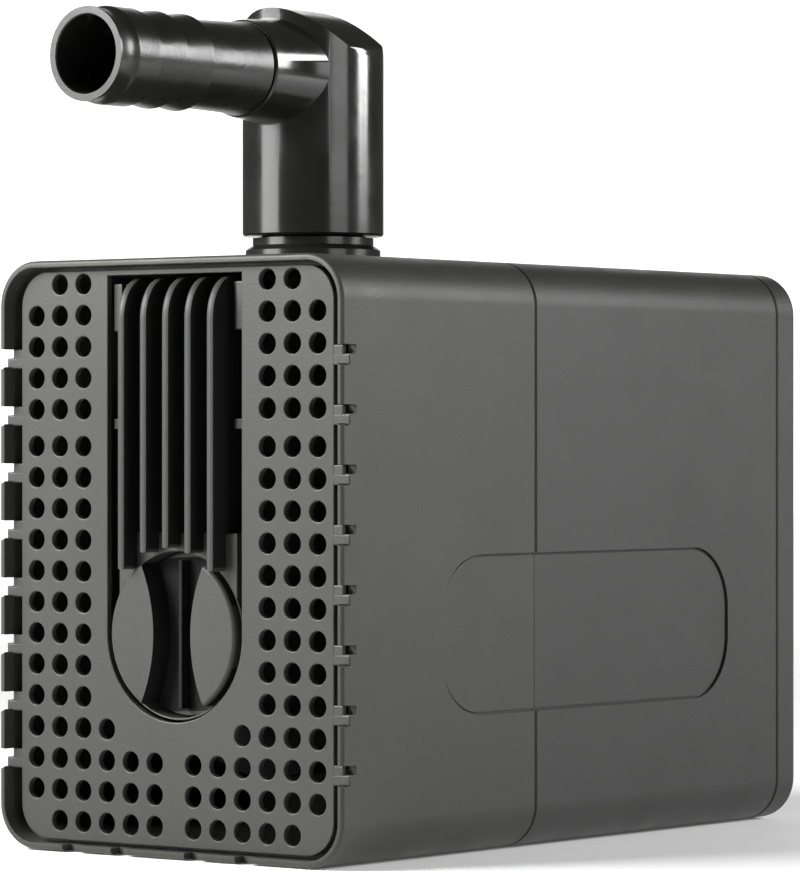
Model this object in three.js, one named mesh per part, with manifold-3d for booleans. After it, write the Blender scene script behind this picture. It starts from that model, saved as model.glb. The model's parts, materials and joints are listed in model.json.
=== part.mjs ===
// Submersible fountain pump: motor housing, slide-off strainer cage, flow dial,
// swivel outlet elbow with a hose tail, and the wet and electrical parts inside.
// Millimetres, +Z up, +X to the right, front face towards -Y, underside on Z = 0.
import * as THREE from 'three';
import { mergeVertices } from 'three/addons/utils/BufferGeometryUtils.js';
import Module from 'manifold-3d';

const wasm = await Module();
wasm.setup();

// ---------------------------------------------------------------- dimensions
const GAP = 0.3; // working clearance between neighbouring pieces

// body envelope
const WIDTH = 68.6;
const HEIGHT = 91.6;
const FRONT_Y = -61.75; // front rim of the cage
const REAR_Y = 61.75; // back of the rear cover
const SEAM_Y = -12.95; // where the cage meets the housing
const COVER_Y = 56.4; // where the rear cover meets the housing
const CORNER_R = 7;
const WALL = 2.4;
const MID_Z = HEIGHT / 2;

// front screen
const RIM = 1.2;
const SCREEN_SET_BACK = 1.8;
const SCREEN_T = 2;
const SCREEN_HALF_W = 31.2;
const SCREEN_Z0 = 1.6;
const SCREEN_Z1 = 89.95;
const SCREEN_R = 5.4;
const SCREEN_Y = FRONT_Y + SCREEN_SET_BACK;
const HOLE_R = 1.6;
const HOLE_PITCH = 4.85;
const HOLE_FIRST_X = 3.85;
const HOLE_TOP_Z = 87.9;
const HOLE_ROW_STEP = 0.88; // extra space after the fifth row
const HOLE_ROWS = 18;

// notches round the front edge, each with a tab of the screen in it
const NOTCH_H = 3.2;
const NOTCH_DEPTH = 3.4;
const NOTCH_PITCH = 8.93;
const NOTCH_TOP_Z = 76.4;
const NOTCH_COUNT = 8;
const BASE_NOTCH_X = [-19.9, -9.9, 4.8, 14.8];
const BASE_NOTCH_W = 2.6;

// window, grille and dial
const AXIS_Z = 34; // rotor, inlet and dial axis
const WINDOW_HALF_W = 13.4;
const WINDOW_TOP_Z = 89.1;
const GRILLE_HALF_W = 11.8;
const GRILLE_SEAT_R = 13.1;
const GRILLE_Y = SCREEN_Y + 0.9;
const GRILLE_TOP_Z = 88.8;
const FIN_T = 1.5;
const FIN_PITCH = 4.45;
const FIN_FRONT_Y = FRONT_Y - 0.4;
const DIAL_R = 12.4;
const DIAL_Y = FRONT_Y + 1.3;
const DIAL_T = 4;

// recessed panel on the right side
const PANEL_Y0 = -37.7;
const PANEL_Y1 = 40.7;
const PANEL_Z0 = 21.5;
const PANEL_Z1 = 46.2;
const PANEL_R = 10;
const PANEL_DEPTH = 0.45;

// volute and outlet
const VOLUTE_Y0 = -37.6;
const VOLUTE_Y1 = SEAM_Y - GAP;
const VOLUTE_R = 23;
const CHAMBER_R = 19;
const INLET_R = 7.5;
const OUTLET_Y = -25.95;
const RISER_R = 8;
const RISER_BORE_R = 6;
const RISER_TOP_Z = 113;
const COLLAR_R = 10.7;
const ELBOW_R = 11.2;
const ELBOW_Z0 = 95.9;
const ELBOW_TOP_Z = 131.4;
const CROWN_R = 12;
const TAIL_Z = 121.4;
const SOCKET_R = 7.6;
const SOCKET_ROOT_R = 9.6;
const SOCKET_END_Y = OUTLET_Y - 18.3;
const TAIL_END_Y = -80.25;
const TAIL_BORE_R = 5.9;
const BARB_R = 7.5;

// motor
const CAN_R = 13.4;
const CAN_BORE_R = 12.3;
const CAN_Y1 = 31;
const CORE_Y0 = -2;
const CORE_Y1 = 26;
const COIL_X = 15;
const SHAFT_R = 1.5;
const MAGNET_R = 11.4;

// ---------------------------------------------------------------- helpers
const positionsOnly = (geometry) => {
  const bare = new THREE.BufferGeometry();
  bare.setAttribute('position', geometry.getAttribute('position').clone());
  if (geometry.index) {
    bare.setIndex(geometry.index.clone());
  }
  return mergeVertices(bare, 1e-4);
};

const solid = (geometry) => {
  const bare = positionsOnly(geometry);
  return new wasm.Manifold(new wasm.Mesh({
    numProp: 3,
    vertProperties: new Float32Array(bare.getAttribute('position').array),
    triVerts: new Uint32Array(bare.index.array),
  }));
};

const surface = (body) => {
  const mesh = body.getMesh();
  const geometry = new THREE.BufferGeometry();
  geometry.setAttribute('position', new THREE.BufferAttribute(new Float32Array(mesh.vertProperties), 3));
  geometry.setIndex(new THREE.BufferAttribute(new Uint32Array(mesh.triVerts), 1));
  return geometry;
};

const join = (...bodies) => bodies.reduce((all, body) => all.add(body));
const common = (body, ...others) => others.reduce((all, other) => all.intersect(other), body);
const cut = (body, ...tools) => tools.reduce((rest, tool) => rest.subtract(tool), body);

// closed outline of a rectangle with rounded corners, in the X-Z plane
const roundedRect = (shape, x0, x1, z0, z1, r) => {
  shape.moveTo(x0 + r, z0);
  shape.lineTo(x1 - r, z0);
  shape.absarc(x1 - r, z0 + r, r, -Math.PI / 2, 0);
  shape.lineTo(x1, z1 - r);
  shape.absarc(x1 - r, z1 - r, r, 0, Math.PI / 2);
  shape.lineTo(x0 + r, z1);
  shape.absarc(x0 + r, z1 - r, r, Math.PI / 2, Math.PI);
  shape.lineTo(x0, z0 + r);
  shape.absarc(x0 + r, z0 + r, r, Math.PI, 1.5 * Math.PI);
  return shape;
};

// prism with an X-Z outline, running from y0 to y1
const prismY = (shape, y0, y1, curveSegments = 3) => {
  const geometry = new THREE.ExtrudeGeometry(shape, { depth: y1 - y0, bevelEnabled: false, curveSegments });
  return geometry.rotateX(Math.PI / 2).translate(0, y1, 0);
};

const blockY = (x0, x1, z0, z1, r, y0, y1, curveSegments = 3) =>
  prismY(roundedRect(new THREE.Shape(), x0, x1, z0, z1, r), y0, y1, curveSegments);

// prism with a Y-Z outline of [y, z] points, running from x0 to x1
const prismX = (outline, x0, x1) => {
  const shape = new THREE.Shape(outline.map(([y, z]) => new THREE.Vector2(y, z)));
  const geometry = new THREE.ExtrudeGeometry(shape, { depth: x1 - x0, bevelEnabled: false });
  geometry.applyMatrix4(new THREE.Matrix4().makeBasis(
    new THREE.Vector3(0, 1, 0),
    new THREE.Vector3(0, 0, 1),
    new THREE.Vector3(1, 0, 0),
  ));
  return geometry.translate(x0, 0, 0);
};

const box = (x0, x1, y0, y1, z0, z1) =>
  new THREE.BoxGeometry(x1 - x0, y1 - y0, z1 - z0)
    .translate((x0 + x1) / 2, (y0 + y1) / 2, (z0 + z1) / 2);

const rodY = (r, y0, y1, x = 0, z = AXIS_Z, sides = 26) =>
  new THREE.CylinderGeometry(r, r, y1 - y0, sides).translate(x, (y0 + y1) / 2, z);

const rodZ = (r, z0, z1, x = 0, y = OUTLET_Y, sides = 26) =>
  new THREE.CylinderGeometry(r, r, z1 - z0, sides).rotateX(Math.PI / 2).translate(x, y, (z0 + z1) / 2);

// turned piece from [radius, height] pairs, ordered so that its faces point outwards
const turned = (profile, sides) => {
  const doubleArea = profile.reduce((sum, [r, h], i) => {
    const [nextR, nextH] = profile[(i + 1) % profile.length];
    return sum + r * nextH - nextR * h;
  }, 0);
  const points = profile.map(([r, h]) => new THREE.Vector2(r, h));
  return new THREE.LatheGeometry(doubleArea > 0 ? points : points.reverse(), sides);
};

// turned pieces on an axis parallel to Y or to Z
const turnedY = (profile, x = 0, z = AXIS_Z, sides = 26) => turned(profile, sides).translate(x, 0, z);
const turnedZ = (profile, x = 0, y = OUTLET_Y, sides = 26) =>
  turned(profile, sides).rotateX(Math.PI / 2).translate(x, y, 0);

const ringProfile = (inner, outer, a, b) => [[inner, a], [outer, a], [outer, b], [inner, b], [inner, a]];

// round-section seal ring as a closed [radius, along] profile
const cordProfile = (radius, section, at, sides = 6) =>
  Array.from({ length: sides + 1 }, (_, i) => {
    const t = (i % sides) * 2 * Math.PI / sides;
    return [radius + section * Math.cos(t), at + section * Math.sin(t)];
  });

const group = new THREE.Group();
group.name = 'fountain_pump';

const materials = {
  shell: new THREE.MeshStandardMaterial({ color: 0x4a4c4a, roughness: 0.55 }),
  cage: new THREE.MeshStandardMaterial({ color: 0x555651, roughness: 0.55 }),
  black: new THREE.MeshStandardMaterial({ color: 0x17181a, roughness: 0.25 }),
  rubber: new THREE.MeshStandardMaterial({ color: 0x202020, roughness: 0.9 }),
  steel: new THREE.MeshStandardMaterial({ color: 0xb9bcc0, roughness: 0.3, metalness: 1 }),
  lamination: new THREE.MeshStandardMaterial({ color: 0x70757c, roughness: 0.5, metalness: 0.8 }),
  copper: new THREE.MeshStandardMaterial({ color: 0xa85a2a, roughness: 0.35, metalness: 0.8 }),
  nylon: new THREE.MeshStandardMaterial({ color: 0xd9d6c8, roughness: 0.6 }),
  ceramic: new THREE.MeshStandardMaterial({ color: 0xf1efe9, roughness: 0.2 }),
  magnet: new THREE.MeshStandardMaterial({ color: 0x33343a, roughness: 0.6 }),
  blue: new THREE.MeshStandardMaterial({ color: 0x2c5b8c, roughness: 0.5 }),
};

const addNode = (name, geometry, material) => {
  const node = new THREE.Mesh(geometry, material.clone());
  node.name = name;
  group.add(node);
};

// ---------------------------------------------------------------- motor housing
const panelRecess = (() => {
  const outline = roundedRect(new THREE.Shape(), PANEL_Y0, PANEL_Y1, PANEL_Z0, PANEL_Z1, PANEL_R);
  const tool = new THREE.ExtrudeGeometry(outline, { depth: 5, bevelEnabled: false, curveSegments: 8 });
  // outline runs in Y-Z: local x becomes Y, local y becomes Z
  tool.applyMatrix4(new THREE.Matrix4().makeBasis(
    new THREE.Vector3(0, 1, 0),
    new THREE.Vector3(0, 0, 1),
    new THREE.Vector3(1, 0, 0),
  ));
  return solid(tool.translate(WIDTH / 2 - PANEL_DEPTH, 0, 0));
})();

const outerBlock = (y0, y1, inset = 0) =>
  blockY(-WIDTH / 2 + inset, WIDTH / 2 - inset, inset, HEIGHT - inset, CORNER_R - inset, y0, y1);

const HOUSING_FRONT_T = 3.2;
const SCREW_CORNERS = [[-28, 6.5], [28, 6.5], [-28, HEIGHT - 6.5], [28, HEIGHT - 6.5]];
const VOLUTE_SCREWS = [[-20, 17], [20, 17], [-20, 51], [20, 51]];

const screwPosts = join(...SCREW_CORNERS.map(([x, z]) => solid(rodY(4, -10, COVER_Y - 0.9, x, z, 12))))
  .intersect(solid(outerBlock(-10, COVER_Y - 0.9, 1)));

let housing = join(
  cut(
    solid(outerBlock(SEAM_Y, COVER_Y - 0.9)),
    solid(outerBlock(SEAM_Y + HOUSING_FRONT_T, COVER_Y + 1, WALL)),
  ),
  screwPosts,
);
housing = cut(
  housing,
  panelRecess,
  solid(rodY(CAN_R + GAP, SEAM_Y - 1, -5)),
  solid(rodY(18.3, SEAM_Y - 1, SEAM_Y + 1.5)),
  ...SCREW_CORNERS.map(([x, z]) => solid(rodY(1.7, COVER_Y - 14, COVER_Y + 1, x, z, 12))),
  ...VOLUTE_SCREWS.map(([x, z]) => solid(rodY(1.7, SEAM_Y - 1, SEAM_Y + HOUSING_FRONT_T + 1, x, z, 12))),
);
addNode('motor_housing', surface(housing), materials.shell);

// ---------------------------------------------------------------- rear cover
const GLAND_Z = 22;
const coverPlate = solid(outerBlock(COVER_Y, REAR_Y - 1.2));
const coverBack = solid(outerBlock(REAR_Y - 1.2, REAR_Y, 0.9));
const spigot = cut(
  solid(outerBlock(COVER_Y - 3.4, COVER_Y + 0.5, WALL + GAP)),
  solid(outerBlock(COVER_Y - 4, COVER_Y + 1, WALL + 2.2)),
  ...SCREW_CORNERS.map(([x, z]) => solid(rodY(4.6, COVER_Y - 5, COVER_Y, x, z, 12))),
);
const rearCover = cut(
  join(coverPlate, coverBack, spigot),
  solid(rodY(6.3, COVER_Y - 5, REAR_Y + 1, 0, GLAND_Z, 24)),
  ...SCREW_CORNERS.flatMap(([x, z]) => [
    solid(rodY(1.9, COVER_Y - 5, REAR_Y + 1, x, z, 12)),
    solid(rodY(3.4, REAR_Y - 2.6, REAR_Y + 1, x, z, 16)),
  ]),
);
addNode('rear_cover', surface(rearCover), materials.shell);

const gasket = cut(
  solid(outerBlock(COVER_Y - 0.6, COVER_Y - GAP, 0.5)),
  solid(outerBlock(COVER_Y - 1, COVER_Y, WALL - 0.2)),
);
addNode('rear_gasket', surface(gasket), materials.rubber);

const screwProfile = (headR, headT, shankR, head, length) => [
  [0, head],
  [headR - 0.5, head],
  [headR, head - 0.5],
  [headR, head - headT],
  [shankR, head - headT],
  [shankR, head - length + 1],
  [0.3, head - length],
  [0, head - length],
];

// screw with its head at y = head, pointing away from the head in the +Y or -Y direction
const screw = (x, z, head, length, forward) => {
  const blank = turnedY(screwProfile(2.9, 2, 1.4, 0, length), 0, 0, 10);
  if (forward) {
    blank.rotateZ(Math.PI);
  }
  const slot = box(-0.4, 0.4, forward ? -0.1 : -0.7, forward ? 0.7 : 0.1, -2, 2);
  return surface(cut(solid(blank.translate(x, head, z)), solid(slot.translate(x, head, z))));
};

SCREW_CORNERS.forEach(([x, z], i) => {
  addNode(`cover_screw_${i + 1}`, screw(x, z, REAR_Y - 0.3, 15, false), materials.steel);
});

// cord inlet on the rear: a bored gland body and its seal, with no cord
const glandBody = turnedY([
  [4, COVER_Y - 4],
  [5.9, COVER_Y - 4],
  [5.9, REAR_Y + GAP],
  [8.2, REAR_Y + GAP],
  [8.2, REAR_Y + 2.6],
  [6.6, REAR_Y + 5.4],
  [4, REAR_Y + 5.4],
  [4, COVER_Y - 4],
], 0, GLAND_Z, 24);
addNode('cord_gland', glandBody, materials.black);
addNode('gland_seal', turnedY(ringProfile(3.2, 3.7, COVER_Y, REAR_Y + 4.6), 0, GLAND_Z, 24), materials.rubber);

// ---------------------------------------------------------------- motor
const can = turnedY([
  [0, CAN_Y1],
  [CAN_R, CAN_Y1],
  [CAN_R, SEAM_Y + 1.3],
  [18, SEAM_Y + 1.3],
  [18, SEAM_Y + 0.1],
  [CAN_BORE_R, SEAM_Y + 0.1],
  [CAN_BORE_R, CAN_Y1 - 5],
  [4, CAN_Y1 - 5],
  [4, CAN_Y1 - 1.4],
  [0, CAN_Y1 - 1.4],
]);
addNode('rotor_can', can, materials.nylon);
addNode('can_seal', turnedY(cordProfile(15.6, 0.42, SEAM_Y - 0.68)), materials.rubber);

const CORE_HALF = 21;
const core = cut(
  join(
    solid(box(-CORE_HALF, CORE_HALF, CORE_Y0, CORE_Y1, 16, 52)),
    solid(box(9, CORE_HALF, CORE_Y0, CORE_Y1, 40, 84)),
    solid(box(-CORE_HALF, -9, CORE_Y0, CORE_Y1, 40, 84)),
    solid(box(-CORE_HALF, CORE_HALF, CORE_Y0, CORE_Y1, 73, 84)),
  ),
  solid(rodY(CAN_R + GAP, CORE_Y0 - 1, CORE_Y1 + 1)),
  solid(box(-2, 2, CORE_Y0 - 1, CORE_Y1 + 1, 10, 60)),
);
addNode('stator_core', surface(core), materials.lamination);

const coreMidY = (CORE_Y0 + CORE_Y1) / 2;
const coilBlock = (x, halfX, halfY, z0, z1) =>
  box(x - halfX, x + halfX, coreMidY - halfY, coreMidY + halfY, z0, z1);
const LEG_HALF_X = 6;
const LEG_HALF_Y = 14;
[['left', -COIL_X], ['right', COIL_X]].forEach(([side, x]) => {
  const bobbin = cut(
    join(
      solid(coilBlock(x, LEG_HALF_X + 1.3, LEG_HALF_Y + 1.3, 52.4, 72.6)),
      solid(coilBlock(x, 11.8, 19.8, 52.4, 53.6)),
      solid(coilBlock(x, 11.8, 19.8, 71.4, 72.6)),
    ),
    solid(coilBlock(x, LEG_HALF_X + GAP, LEG_HALF_Y + GAP, 50, 75)),
  );
  addNode(`coil_bobbin_${side}`, surface(bobbin), materials.nylon);
  const winding = blockY(x - 11.4, x + 11.4, -19.2, 19.2, 4, 53.9, 71.1, 4)
    .applyMatrix4(new THREE.Matrix4().makeBasis(
      new THREE.Vector3(1, 0, 0),
      new THREE.Vector3(0, 0, 1),
      new THREE.Vector3(0, -1, 0),
    ))
    .translate(0, coreMidY, 0);
  const wound = cut(solid(winding), solid(coilBlock(x, LEG_HALF_X + 1.6, LEG_HALF_Y + 1.6, 50, 75)));
  addNode(`coil_winding_${side}`, surface(wound), materials.copper);
});
addNode('thermal_fuse', rodY(2, 31.6, 42, 12, 62, 12), materials.nylon);

// ---------------------------------------------------------------- volute
const spiderRing = turnedY(ringProfile(2.9, 4.2, VOLUTE_Y0, VOLUTE_Y0 + 3), 0, AXIS_Z, 16);
const spiderArms = [0, 1, 2].map((i) => solid(
  box(3.6, INLET_R + 1, VOLUTE_Y0 + 0.4, VOLUTE_Y0 + 2.6, -0.7, 0.7)
    .rotateY(i * 2 * Math.PI / 3 + Math.PI / 2)
    .translate(0, 0, AXIS_Z),
));
let volute = join(
  solid(rodY(VOLUTE_R, VOLUTE_Y0, VOLUTE_Y1, 0, AXIS_Z, 40)),
  solid(blockY(-24, 24, 13, 55, 5, VOLUTE_Y1 - 3.4, VOLUTE_Y1, 4)),
  solid(rodZ(RISER_R, AXIS_Z + 8, RISER_TOP_Z)),
);
volute = cut(
  volute,
  solid(rodY(CHAMBER_R, VOLUTE_Y0 + 3, VOLUTE_Y1 + 1, 0, AXIS_Z, 40)),
  solid(rodY(INLET_R, VOLUTE_Y0 - 1, VOLUTE_Y0 + 4, 0, AXIS_Z, 24)),
  solid(rodZ(RISER_BORE_R, AXIS_Z + 10, RISER_TOP_Z + 1, 0, OUTLET_Y, 24)),
  solid(turnedZ(ringProfile(RISER_R - 0.9, RISER_R + 2, 107, 109))),
  solid(turnedY(ringProfile(20.6, 22, VOLUTE_Y1 - 0.8, VOLUTE_Y1 + 1))),
  ...VOLUTE_SCREWS.map(([x, z]) => solid(rodY(1.8, VOLUTE_Y1 - 10, VOLUTE_Y1 + 1, x, z, 12))),
  ...VOLUTE_SCREWS.map(([x, z]) => solid(rodY(3.2, VOLUTE_Y1 - 20, VOLUTE_Y1 - 3.4, x, z, 16))),
);
volute = join(volute, solid(spiderRing), ...spiderArms);
addNode('volute_body', surface(volute), materials.shell);
addNode('volute_seal', turnedY(ringProfile(20.9, 21.7, VOLUTE_Y1 - 0.5, SEAM_Y - 0.05)), materials.rubber);
VOLUTE_SCREWS.forEach(([x, z], i) => {
  addNode(`volute_screw_${i + 1}`, screw(x, z, VOLUTE_Y1 - 3.4 - 2.1, 11, true), materials.steel);
});

// ---------------------------------------------------------------- rotor group
addNode('rotor_shaft', rodY(SHAFT_R, VOLUTE_Y0 + 0.6, CAN_Y1 - 1.7, 0, AXIS_Z, 16), materials.ceramic);
addNode('front_bushing', turnedY(ringProfile(SHAFT_R + 0.2, 2.6, VOLUTE_Y0 + 0.3, VOLUTE_Y0 + 4), 0, AXIS_Z, 16),
  materials.rubber);
addNode('rear_bushing', turnedY(ringProfile(SHAFT_R + 0.2, 3.7, CAN_Y1 - 6, CAN_Y1 - 2), 0, AXIS_Z, 16),
  materials.rubber);
addNode('thrust_washer_front', turnedY(ringProfile(SHAFT_R + 0.2, 3.2, -33, -32.2), 0, AXIS_Z, 16),
  materials.ceramic);
addNode('thrust_washer_rear', turnedY(ringProfile(SHAFT_R + 0.2, 3.2, 23.4, 24.2), 0, AXIS_Z, 16),
  materials.ceramic);

const IMPELLER_Y0 = -31.6;
const IMPELLER_Y1 = -16.2;
const impellerHub = turnedY([
  [SHAFT_R + 0.3, IMPELLER_Y0],
  [4, IMPELLER_Y0],
  [4.6, IMPELLER_Y1 - 2],
  [16, IMPELLER_Y1 - 2],
  [16, IMPELLER_Y1],
  [5.4, IMPELLER_Y1],
  [5.4, -10.8],
  [SHAFT_R + 0.3, -10.8],
  [SHAFT_R + 0.3, IMPELLER_Y0],
]);
const impellerVanes = Array.from({ length: 6 }, (_, i) => solid(
  box(3.6, 15.8, IMPELLER_Y0 + 1, IMPELLER_Y1 - 1.5, -0.7, 0.7)
    .rotateY(i * Math.PI / 3)
    .translate(0, 0, AXIS_Z),
));
addNode('impeller', surface(join(solid(impellerHub), ...impellerVanes)), materials.nylon);
addNode('rotor_sleeve', turnedY(ringProfile(SHAFT_R + 0.3, 4.8, -10.4, 22.8), 0, AXIS_Z, 20), materials.nylon);
addNode('rotor_magnet', turnedY(ringProfile(5.1, MAGNET_R, -8.6, 20.4)), materials.magnet);

// ---------------------------------------------------------------- intake grille
// outline of the grille: narrow above, a round seat for the dial below
const grilleOutline = (inset, Type = THREE.Shape) => {
  const outline = new Type();
  const r = GRILLE_SEAT_R - inset;
  const half = GRILLE_HALF_W - inset;
  const rise = Math.sqrt(r * r - half * half);
  outline.moveTo(half, GRILLE_TOP_Z - inset);
  outline.lineTo(-half, GRILLE_TOP_Z - inset);
  outline.lineTo(-half, AXIS_Z + rise);
  outline.absarc(0, AXIS_Z, r, Math.PI - Math.asin(rise / r), 2 * Math.PI + Math.asin(rise / r));
  outline.closePath();
  return outline;
};

const DUCT_WALL = 1.6;
const SEAT_FLOOR_Y = DIAL_Y + DIAL_T + GAP;
const ductEnd = VOLUTE_Y0 - GAP;
const grilleShell = cut(
  solid(prismY(grilleOutline(0), GRILLE_Y, ductEnd, 8)),
  solid(prismY(grilleOutline(DUCT_WALL), SEAT_FLOOR_Y + 1.8, ductEnd + 1, 8)),
  solid(rodY(DIAL_R + GAP, GRILLE_Y - 1, SEAT_FLOOR_Y, 0, AXIS_Z, 40)),
  solid(rodY(2.9, GRILLE_Y - 1, ductEnd, 0, AXIS_Z, 20)),
);
const FINS_Z0 = 47.6;
const finXs = [-2, -1, 0, 1, 2].map((i) => i * FIN_PITCH);
const slots = [-1.5, -0.5, 0.5, 1.5].map((i) => solid(
  box(i * FIN_PITCH - (FIN_PITCH - FIN_T) / 2, i * FIN_PITCH + (FIN_PITCH - FIN_T) / 2,
    GRILLE_Y - 1, SEAT_FLOOR_Y + 3, FINS_Z0, GRILLE_TOP_Z - 2.4),
));
const sideSlots = [52, 60, 68, 76].map((z) => solid(
  box(-20, 20, GRILLE_Y + 8, ductEnd - 4, z, z + 3.4),
));
// fin side view: straight front edge, rounded over at the top
const finOutline = (zBottom) => {
  const tipR = 3.2;
  const topZ = GRILLE_TOP_Z - 0.2;
  const back = GRILLE_Y + 1;
  const outline = new THREE.Shape();
  outline.moveTo(FIN_FRONT_Y, zBottom);
  outline.lineTo(back, zBottom);
  outline.lineTo(back, topZ);
  outline.lineTo(FIN_FRONT_Y + tipR, topZ);
  outline.absarc(FIN_FRONT_Y + tipR, topZ - tipR, tipR, Math.PI / 2, Math.PI);
  outline.closePath();
  return outline;
};
const fins = finXs.map((x) => {
  const reach = DIAL_R + 0.9;
  const zBottom = AXIS_Z + Math.sqrt(reach * reach - x * x);
  const fin = new THREE.ExtrudeGeometry(finOutline(zBottom), { depth: FIN_T, bevelEnabled: false, curveSegments: 5 });
  fin.applyMatrix4(new THREE.Matrix4().makeBasis(
    new THREE.Vector3(0, 1, 0),
    new THREE.Vector3(0, 0, 1),
    new THREE.Vector3(1, 0, 0),
  ));
  return solid(fin.translate(x - FIN_T / 2, 0, 0));
});
const EAR_X = WINDOW_HALF_W - GAP;
const ears = [
  box(-EAR_X, -GRILLE_HALF_W + 0.4, GRILLE_Y + 0.2, GRILLE_Y + 2, 81.5, GRILLE_TOP_Z),
  box(GRILLE_HALF_W - 0.4, EAR_X, GRILLE_Y + 0.2, GRILLE_Y + 2, 81.5, GRILLE_TOP_Z),
  box(-EAR_X, -GRILLE_HALF_W + 0.4, GRILLE_Y + 0.2, GRILLE_Y + 2, 65.4, 67),
  box(GRILLE_HALF_W - 0.4, EAR_X, GRILLE_Y + 0.2, GRILLE_Y + 2, 65.4, 67),
].map(solid);
const grille = cut(join(cut(grilleShell, ...slots), ...fins, ...ears), ...sideSlots);
addNode('intake_grille', surface(grille), materials.cage);

// ---------------------------------------------------------------- flow dial
const CHANNEL_DEPTH = 2.4;
const WAIST = 3.7;
const BULGE_R = 24;
const channelBlock = solid(box(-8, 8, DIAL_Y - 1, DIAL_Y + CHANNEL_DEPTH, AXIS_Z - 14, AXIS_Z + 14));
const bulges = [-1, 1].map((side) =>
  solid(rodY(BULGE_R, DIAL_Y - 2, DIAL_Y + 4, side * (WAIST + BULGE_R), AXIS_Z, 48)));
const channel = cut(channelBlock, ...bulges);
const grip = solid(box(-0.5, 0.5, DIAL_Y + 1.2, DIAL_Y + CHANNEL_DEPTH + 0.5, AXIS_Z - DIAL_R + 1, AXIS_Z + DIAL_R - 1));
const GATE_Y0 = -44.6;
const dialDisc = turnedY([
  [0, DIAL_Y],
  [DIAL_R - 0.5, DIAL_Y],
  [DIAL_R, DIAL_Y + 0.5],
  [DIAL_R, DIAL_Y + DIAL_T],
  [2.6, DIAL_Y + DIAL_T],
  [2.6, GATE_Y0 + 4.4],
  [0, GATE_Y0 + 4.4],
], 0, AXIS_Z, 48);
addNode('flow_dial', surface(join(cut(solid(dialDisc), channel), grip)), materials.cage);
addNode('dial_clip', turnedY(ringProfile(2.9, 4.8, SEAT_FLOOR_Y + 2.1, SEAT_FLOOR_Y + 2.9), 0, AXIS_Z, 20),
  materials.steel);

// gate: a hub with a half disc that slides across the inlet mouth
const gateDisc = new THREE.Shape();
gateDisc.absarc(0, AXIS_Z, 10.8, Math.PI, 2 * Math.PI);
gateDisc.closePath();
const gate = cut(
  join(
    solid(prismY(gateDisc, GATE_Y0 + 4.8, GATE_Y0 + 6.4, 12)),
    solid(rodY(4.4, GATE_Y0, GATE_Y0 + 6.4, 0, AXIS_Z, 20)),
  ),
  solid(rodY(2.9, GATE_Y0 - 1, GATE_Y0 + 4.8, 0, AXIS_Z, 20)),
);
addNode('flow_gate', surface(gate), materials.nylon);

// ---------------------------------------------------------------- strainer cage
const CAGE_Y1 = SEAM_Y - GAP;
const LEDGE_Y0 = SCREEN_Y + SCREEN_T + GAP;
const LEDGE_Y1 = LEDGE_Y0 + 1.8;
const notchZs = Array.from({ length: NOTCH_COUNT }, (_, i) => NOTCH_TOP_Z - i * NOTCH_PITCH);
let cage = cut(
  join(
    solid(outerBlock(FRONT_Y, FRONT_Y + 0.5, 0.45)),
    solid(outerBlock(FRONT_Y + 0.5, CAGE_Y1)),
  ),
  solid(outerBlock(FRONT_Y - 1, LEDGE_Y0, RIM)),
  solid(outerBlock(LEDGE_Y1, CAGE_Y1 + 1, WALL - 0.4)),
  solid(blockY(-30.4, 30.4, 2.5, HEIGHT - 2.5, 4.4, LEDGE_Y0 - 1, LEDGE_Y1 + 1)),
  panelRecess,
);
cage = cut(
  cage,
  ...notchZs.map((z) => solid(
    blockY(-WIDTH, WIDTH, z - NOTCH_H / 2, z + NOTCH_H / 2, 1.2, FRONT_Y - 1, FRONT_Y + NOTCH_DEPTH, 2))),
  ...BASE_NOTCH_X.map((x) => solid(
    box(x - BASE_NOTCH_W / 2, x + BASE_NOTCH_W / 2, FRONT_Y - 1, FRONT_Y + NOTCH_DEPTH, -1, RIM + 1))),
  solid(rodZ(RISER_R + 0.6, HEIGHT - 6, HEIGHT + 1)),
  solid(box(-RISER_R - 0.6, RISER_R + 0.6, OUTLET_Y, CAGE_Y1 + 1, HEIGHT - 6, HEIGHT + 1)),
);
addNode('strainer_cage', surface(cage), materials.cage);

// front screen: rounded plate with the grille window and the round holes
const screenShape = roundedRect(
  new THREE.Shape(), -SCREEN_HALF_W, SCREEN_HALF_W, SCREEN_Z0, SCREEN_Z1, SCREEN_R);
const windowPath = new THREE.Path();
windowPath.moveTo(-WINDOW_HALF_W, WINDOW_TOP_Z);
const WINDOW_STEPS = 18;
for (let i = 0; i <= WINDOW_STEPS; i += 1) {
  const t = Math.PI * (1 + i / WINDOW_STEPS);
  windowPath.lineTo(WINDOW_HALF_W * Math.cos(t), AXIS_Z + WINDOW_HALF_W * Math.sin(t));
}
windowPath.lineTo(WINDOW_HALF_W, WINDOW_TOP_Z);
windowPath.closePath();
screenShape.holes.push(windowPath);

// columns of holes kept in each row, counted outwards from the middle
const columnsInRow = (row) => {
  if (row === 0) {
    return [3, 4];
  }
  if (row <= 13) {
    return [3, 4, 5];
  }
  if (row === 14) {
    return [2, 3, 4, 5];
  }
  if (row <= 16) {
    return [0, 1, 2, 3, 4, 5];
  }
  return [0, 1, 2, 3, 4];
};
for (let row = 0; row < HOLE_ROWS; row += 1) {
  const z = HOLE_TOP_Z - row * HOLE_PITCH - (row > 4 ? HOLE_ROW_STEP : 0);
  columnsInRow(row).forEach((column) => {
    [-1, 1].forEach((side) => {
      const hole = new THREE.Path();
      hole.absarc(side * (HOLE_FIRST_X + column * HOLE_PITCH), z, HOLE_R, 0, 2 * Math.PI);
      screenShape.holes.push(hole);
    });
  });
}
const screenPlate = solid(prismY(screenShape, SCREEN_Y, SCREEN_Y + SCREEN_T, 3));
const TAB_X = WIDTH / 2 - 0.1;
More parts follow.
